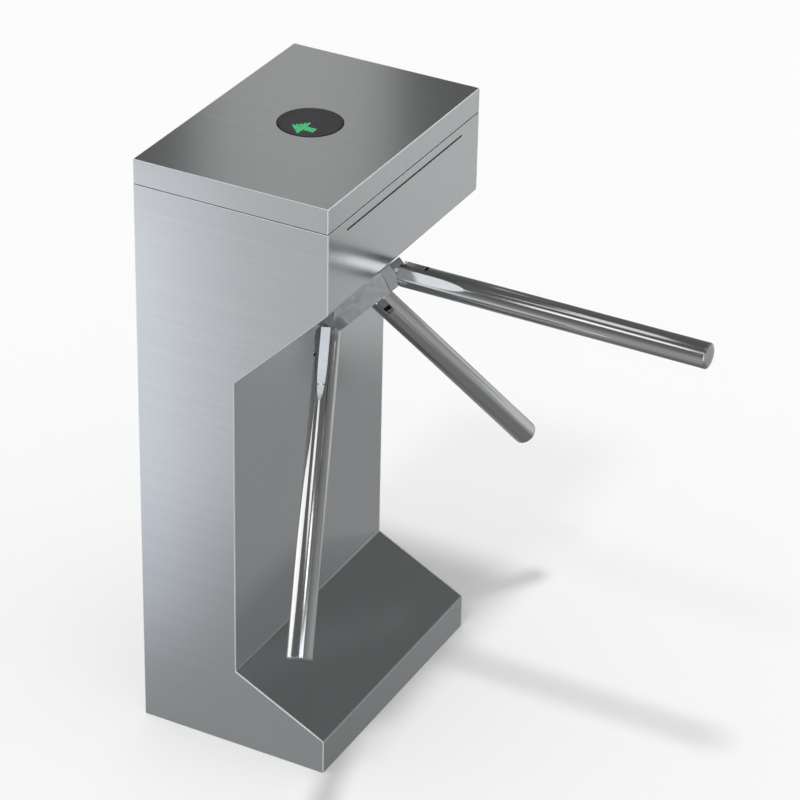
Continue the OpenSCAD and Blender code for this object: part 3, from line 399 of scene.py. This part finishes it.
def round_edges(piece, radius, clamp):
    """Rounds a piece's sharp edges to a radius in metres, without changing its mesh."""
    weld = piece.modifiers.new("weld", "WELD")
    weld.merge_threshold = WELD_REACH
    bevel = piece.modifiers.new("bevel", "BEVEL")
    bevel.width = radius
    bevel.segments = BEVEL_STEPS
    bevel.limit_method = "ANGLE"
    bevel.angle_limit = math.radians(BEVEL_FROM_DEGREES)
    bevel.use_clamp_overlap = clamp
    bevel.harden_normals = True


EDGE_HIGHLIGHT_MATERIAL = painted_edge_highlight()
for name, radius in RADIUS_MM.items():
    round_edges(nodes[name], radius * MM, clamp=not name.startswith("side_plate"))
# The bevels of these pieces get the painted edge highlight and, round the lens, painted shade.
for name in EDGE_HIGHLIGHT_PIECES:
    nodes[name].data.materials.append(EDGE_HIGHLIGHT_MATERIAL)
    nodes[name].modifiers["bevel"].material = 1
print("rounded pieces", len(RADIUS_MM), "of which rubbed", len(EDGE_HIGHLIGHT_PIECES))

# %% [markdown]
# The lens and the arms' end caps are round pieces with a soft rim, which catches a curl of light.
# A bevelled cylinder has a round rim too, but not one that reaches further in than down. A profile
# spun round an axis gives such a piece exactly: each point of the profile becomes a ring, and the
# rings are worked out as one array.

# %% A profile spun round an axis
TURN_STEPS = 96
RIM_STEPS = 9
SHARP_FROM_DEGREES = 40


def spun(name, radii, heights, place):
    """Ring k holds the points (r_k cos a, r_k sin a, h_k) at equal steps of the angle a. The first
    and the last ring are closed by a point on the axis. place carries the points to the frame."""
    first = np.arange(TURN_STEPS)
    second = np.roll(first, -1)
    angles = first * (2 * math.pi / TURN_STEPS)
    rings = np.stack([np.outer(radii, np.cos(angles)), np.outer(radii, np.sin(angles)),
                      np.outer(heights, np.ones(TURN_STEPS))], axis=-1).reshape(-1, 3)
    ends = np.array([[0, 0, heights[0]], [0, 0, heights[-1]]])
    start = np.arange(len(radii) - 1)[:, None] * TURN_STEPS
    quads = np.stack([start + first, start + second, start + TURN_STEPS + second,
                      start + TURN_STEPS + first], axis=-1).reshape(-1, 4)
    last = len(rings) - TURN_STEPS
    under = np.stack([second, first, np.full(TURN_STEPS, len(rings))], axis=-1)
    over = np.stack([last + first, last + second, np.full(TURN_STEPS, len(rings) + 1)], axis=-1)
    mesh = bpy.data.meshes.new(name)
    mesh.from_pydata(place(np.vstack([rings, ends])).tolist(), [],
                     quads.tolist() + under.tolist() + over.tolist())
    mesh.polygons.foreach_set("use_smooth", np.ones(len(mesh.polygons), bool))
    mesh.set_sharp_from_angle(angle=math.radians(SHARP_FROM_DEGREES))
    piece = bpy.data.objects.new(name, mesh)
    scene.collection.objects.link(piece)
    return piece


def soft_rim(radius, top, inward, downward):
    """A quarter of an ellipse, from the side at (radius, top - downward) up to the face at
    (radius - inward, top)."""
    angle = np.linspace(0, math.pi / 2, RIM_STEPS)
    return (radius - inward + inward * np.cos(angle), top - downward + downward * np.sin(angle))


# %% [markdown]
# A new piece stands for a plainer packed one. It gets that node's finish, rides on its body, so
# that it moves with the same joint, and hides it.

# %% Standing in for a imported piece
def stand_in(piece, node, slot):
    """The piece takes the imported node's place, on its body and with its finish."""
    dress(piece, FINISHES[slot])
    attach(piece, body_of[node])
    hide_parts(node)


def corners(piece):
    """The corner points of a piece's mesh, as rows of an array."""
    points = np.empty(len(piece.data.vertices) * 3)
    piece.data.vertices.foreach_get("co", points)
    return points.reshape(-1, 3)


# %% [markdown]
# The lens is one moulded disc with a flange under the lid. Its face stands a little proud, and its
# rim is rounded off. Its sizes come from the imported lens: the corners of that solid lie on three
# levels, which are the flange's underside, the flange's top and the face.

# %% The lens
LENS_RIM_IN = 1.6 * MM
LENS_RIM_BACK = 0.5 * MM


def make_lens():
    points = corners(nodes["indicator_lens"])
    levels = np.unique(points[:, 2].round(5))
    middle = (LENS_LOW + LENS_HIGH)[:2] / 2
    reach = np.hypot(*(points[:, :2] - middle).T)
    flange, face = reach.max(), reach[points[:, 2] > levels[-1] - 0.1 * MM].max()
    rim_radii, rim_heights = soft_rim(face, levels[-1], LENS_RIM_IN, LENS_RIM_BACK)
    radii = np.concatenate([[flange, flange, face], rim_radii])
    heights = np.concatenate([[levels[0], levels[1], levels[1]], rim_heights])
    piece = spun("lens_disc", radii, heights, lambda p: p + np.array([*middle, 0.0]))
    stand_in(piece, "indicator_lens", "smoked_lens")
    print("lens face", round(2 * face / MM, 1), "mm across on levels", levels)


make_lens()

# %% [markdown]
# Each arm ends in a turned cap with a well rounded rim. The cap is worked out once, for the level
# arm, whose axis runs along X. The other two arms are that arm turned by a third of a turn, either
# way, about the axis on which the hub turns. The printed lines say how far each cap stays inside
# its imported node's box, so a cap on the wrong arm would show there at once.

# %% The arms' end caps
SPIN = next(joint for joint in frame["joints"] if joint["name"] == "tripod_spin")
ARM_TURNS = (0, 120, -120)
CAP_RIM_IN = 7 * MM
CAP_RIM_BACK = 3.4 * MM


def make_caps():
    tube_low, tube_high = low_high("arm_1")
    cap_low, cap_high = low_high("arm_1_end_cap")
    radius, thick = (cap_high - cap_low)[2] / 2, (cap_high - tube_high)[0]
    middle = (cap_low + cap_high) / 2
    rim_radii, rim_heights = soft_rim(radius, thick, CAP_RIM_IN, CAP_RIM_BACK)
    radii, heights = np.append(radius, rim_radii), np.append(0.0, rim_heights)
    for number, turn in enumerate(ARM_TURNS, start=1):
        third = np.array(Matrix.Rotation(math.radians(turn), 3, Vector(SPIN["axis"])))

        def place(p):
            """The profile's axis laid along the level arm, then turned about the hub's axis."""
            level = np.column_stack([tube_high[0] + p[:, 2], middle[1] + p[:, 0],
                                     middle[2] + p[:, 1]])
            return (level - SPIN["pos_m"]) @ third.T + SPIN["pos_m"]

        node = f"arm_{number}_end_cap"
        piece = spun(f"rounded_cap_{number}", radii, heights, place)
        stand_in(piece, node, "polished_stainless")
        points = corners(piece)
        low, high = low_high(node)
        spare = (points.min(0) - low) / MM, (high - points.max(0)) / MM
        print(node, "spare in mm", spare[0].round(2), spare[1].round(2))


make_caps()

# %% [markdown]
# The turnstile stands on a pale matt floor, wide enough to fill every view. It is kept out of
# reflections and has no shine, so the sheets show the studio around them and nothing else.

# %% Floor
FLOOR_SIZE = 60.0


def make_floor():
    mesh = bpy.data.meshes.new("studio_floor")
    half = FLOOR_SIZE / 2
    mesh.from_pydata([(-half, -half, 0), (half, -half, 0), (half, half, 0), (-half, half, 0)], [],
                     [(0, 1, 2, 3)])
    floor = bpy.data.objects.new("studio_floor", mesh)
    scene.collection.objects.link(floor)
    f = finish("pale_floor")
    cloud = f.noise((0.7, 0.7, 0.7))
    dress(floor, f.surface(Base_Color=f.mix(cloud, (0.86, 0.86, 0.86), (0.88, 0.88, 0.88)),
                           Roughness=0.7, Specular_IOR_Level=0.0))
    floor.visible_glossy = False
    print("floor", FLOOR_SIZE, "m across")


make_floor()

# %% [markdown]
# Bare metal shows little of its own colour: what it shows is the room. A photograph of a room
# could stand round it, but a plain studio of a few listed tones is enough. Its tone depends on
# the height of the direction: dim overhead, lighter under the horizon, and dim again straight
# down. The left and the right half have their own tones, because the near plate mirrors the one
# and the passage side the other.

# %% World
LEFT_TONES = [
    (-1.0, 0.16), (-0.92, 0.20), (-0.8, 0.34), (-0.62, 0.35), (-0.45, 0.38), (-0.3, 0.37),
    (-0.1, 0.28), (0.1, 0.19), (0.3, 0.14), (1.0, 0.11),
]
RIGHT_TONES = [
    (-1.0, 0.20), (-0.7, 0.20), (-0.59, 0.205), (-0.55, 0.39), (-0.5, 0.30), (-0.45, 0.42),
    (-0.3, 0.42), (0.1, 0.30), (0.5, 0.18), (1.0, 0.11),
]
RIGHT_FROM = 0.35
STUDIO_TINT = np.array([0.985, 1.0, 1.01])


def make_world():
    """Radiance by the upward part of a direction, from -1 to 1. The right half's tones take over
    smoothly while the direction's part along X grows from 0 to RIGHT_FROM."""
    world = bpy.data.worlds.new("studio")
    scene.world = world
    f = Finish(world)
    way = f.node("ShaderNodeTexCoord", out="Generated")
    parts = f.node("ShaderNodeSeparateXYZ", None, way).socket.node.outputs
    up, right = Signal(f, parts["Z"]), Signal(f, parts["X"])
    ramps = []
    for tones in (LEFT_TONES, RIGHT_TONES):
        stops = [((z + 1) / 2, tuple(STUDIO_TINT * tone)) for z, tone in tones]
        ramps.append(f.node("ShaderNodeValToRGB", {"stops": stops}, up * 0.5 + 0.5))
    colour = f.mix(right.between(0.0, RIGHT_FROM), *ramps)
    background = f.node("ShaderNodeBackground", None, colour, 1.0)
    f.node("ShaderNodeOutputWorld", None, background)
    print("world tones", len(LEFT_TONES), "on the left,", len(RIGHT_TONES), "on the right")


make_world()

# %% [markdown]
# Two kinds of lamp are used. Suns light only what is matt, the floor above all. Panels are the
# opposite, lamps that only shine in reflections. So the shadows on the floor and the streaks on
# the metal can be set apart from each other.

# %% Lamps
def lamp(name, kind, place, target):
    """A lamp at a place, facing a target, that the camera doesn't see."""
    light = bpy.data.lights.new(name, kind)
    made = bpy.data.objects.new(name, light)
    scene.collection.objects.link(made)
    made.location = place
    made.rotation_euler = (Vector(target) - Vector(place)).to_track_quat("-Z", "Y").to_euler()
    made.visible_camera = False
    return made


def sun(name, azimuth, elevation, strength, spread):
    """Parallel light from an azimuth, counted from +Y to +X, and an elevation, all in degrees."""
    a, e = math.radians(azimuth), math.radians(elevation)
    away = Vector((math.cos(e) * math.sin(a), math.cos(e) * math.cos(a), math.sin(e)))
    made = lamp(name, "SUN", away * 5, (0, 0, 0))
    made.data.energy = strength
    made.data.angle = math.radians(spread)
    made.visible_glossy = False


def panel(name, place, target, width, height, radiance, colour=(1, 1, 1)):
    """A glowing sheet that only shows in reflections."""
    made = lamp(name, "AREA", place, target)
    made.data.shape = "RECTANGLE"
    made.data.size, made.data.size_y = width, height
    made.data.energy = radiance * math.pi * width * height
    made.data.color = colour
    made.visible_diffuse = False


# %% [markdown]
# A dome, which is a sun as wide as most of the sky, gives the floor its even tone. Two narrow
# suns from the front give the faint shadows of the cabinet and of the arms.

# %% Suns
sun("dome", 180, 89, 1.7, 150)
sun("high_key", 185, 79, 1.1, 6)
sun("low_key", 180, 56, 0.35, 7)

# %% [markdown]
# Each panel stands where a sheet or an arm mirrors it to the camera. The left panel shows as the
# bright streak on the near arm, and the front and the ceiling panel as the streaks on the level
# arm. The leaf panel is the light spot above the hub. The right panel is the light flat at the
# near arm's root, and lifts the hub too. The plate's two panels are meant for the near plate, and
# the three others are faint fill.

# %% Panels
COOL, ICY = (0.93, 0.98, 1.06), (0.95, 0.99, 1.04)
BLUE, GREENISH = (0.89, 0.96, 1.15), (0.94, 1.02, 1.02)

panel("left_panel", (-1.15, -0.68, 0.60), (0.0, -0.68, 0.60), 1.55, 1.4, 1.15)
panel("plate_panel", (-1.40, -1.69, -0.51), (-0.44, -0.08, 0.64), 0.76, 1.02, 0.50, BLUE)
panel("plate_glow", (-1.04, -2.00, -0.32), (-0.04, -0.31, 0.83), 1.5, 0.95, 0.24)
panel("front_panel", (-0.31, -3.78, 3.97), (0.34, -0.1, 0.7), 1.69, 1.2, 1.3)
panel("ceiling_panel", (-0.02, -0.30, 3.0), (-0.02, -0.1, 0.8), 0.78, 0.9, 0.85)
panel("flat_panel", (-0.28, -2.07, 2.93), (0.1, -0.1, 0.7), 0.5, 0.4, 0.33, GREENISH)
panel("right_panel", (1.61, -1.93, 0.63), (0.61, -0.31, -0.22), 1.22, 1.65, 1.5, COOL)
panel("leaf_panel", (0.99, -1.62, 1.66), (0.2, 0.0, 0.85), 0.38, 0.42, 2.2, ICY)
panel("lid_strip", (-0.93, 1.59, 1.87), (0.0, 0.0, 1.0), 0.42, 1.2, 0.34)
panel("passage_panel", (0.62, 1.6, 0.15), (0.1, 0.0, 0.85), 1.1, 0.9, 0.22)

# %% [markdown]
# The camera stands where the photograph was taken from. Its place, direction and lens were worked
# out from where the corners of the cabinet lie in the photograph, at the cabinet's chosen size.

# %% Camera
CAMERA_AT = (2.224, -3.966, 3.178)
AZIMUTH, ELEVATION, ROLL = 27.46, 30.33, 1.29
LENS_MM, SENSOR_MM = 149.94, 36.0


def make_camera():
    """Right, up and back axes from the azimuth and elevation, then turned by the roll."""
    a, e, r = (math.radians(v) for v in (AZIMUTH, ELEVATION, ROLL))
    forward = Vector((-math.sin(a) * math.cos(e), math.cos(a) * math.cos(e), -math.sin(e)))
    level = Vector((math.cos(a), math.sin(a), 0.0))
    upright = level.cross(forward)
    right = level * math.cos(r) + upright * math.sin(r)
    up = upright * math.cos(r) - level * math.sin(r)
    lens = bpy.data.cameras.new("camera")
    lens.lens, lens.sensor_width = LENS_MM, SENSOR_MM
    camera = bpy.data.objects.new("camera", lens)
    scene.collection.objects.link(camera)
    turned = Matrix((right, up, -forward)).transposed().to_4x4()
    camera.matrix_world = Matrix.Translation(CAMERA_AT) @ turned
    scene.camera = camera
    print("camera at", CAMERA_AT, "with a lens of", LENS_MM, "mm")


make_camera()
scene.view_settings.view_transform = "Standard"
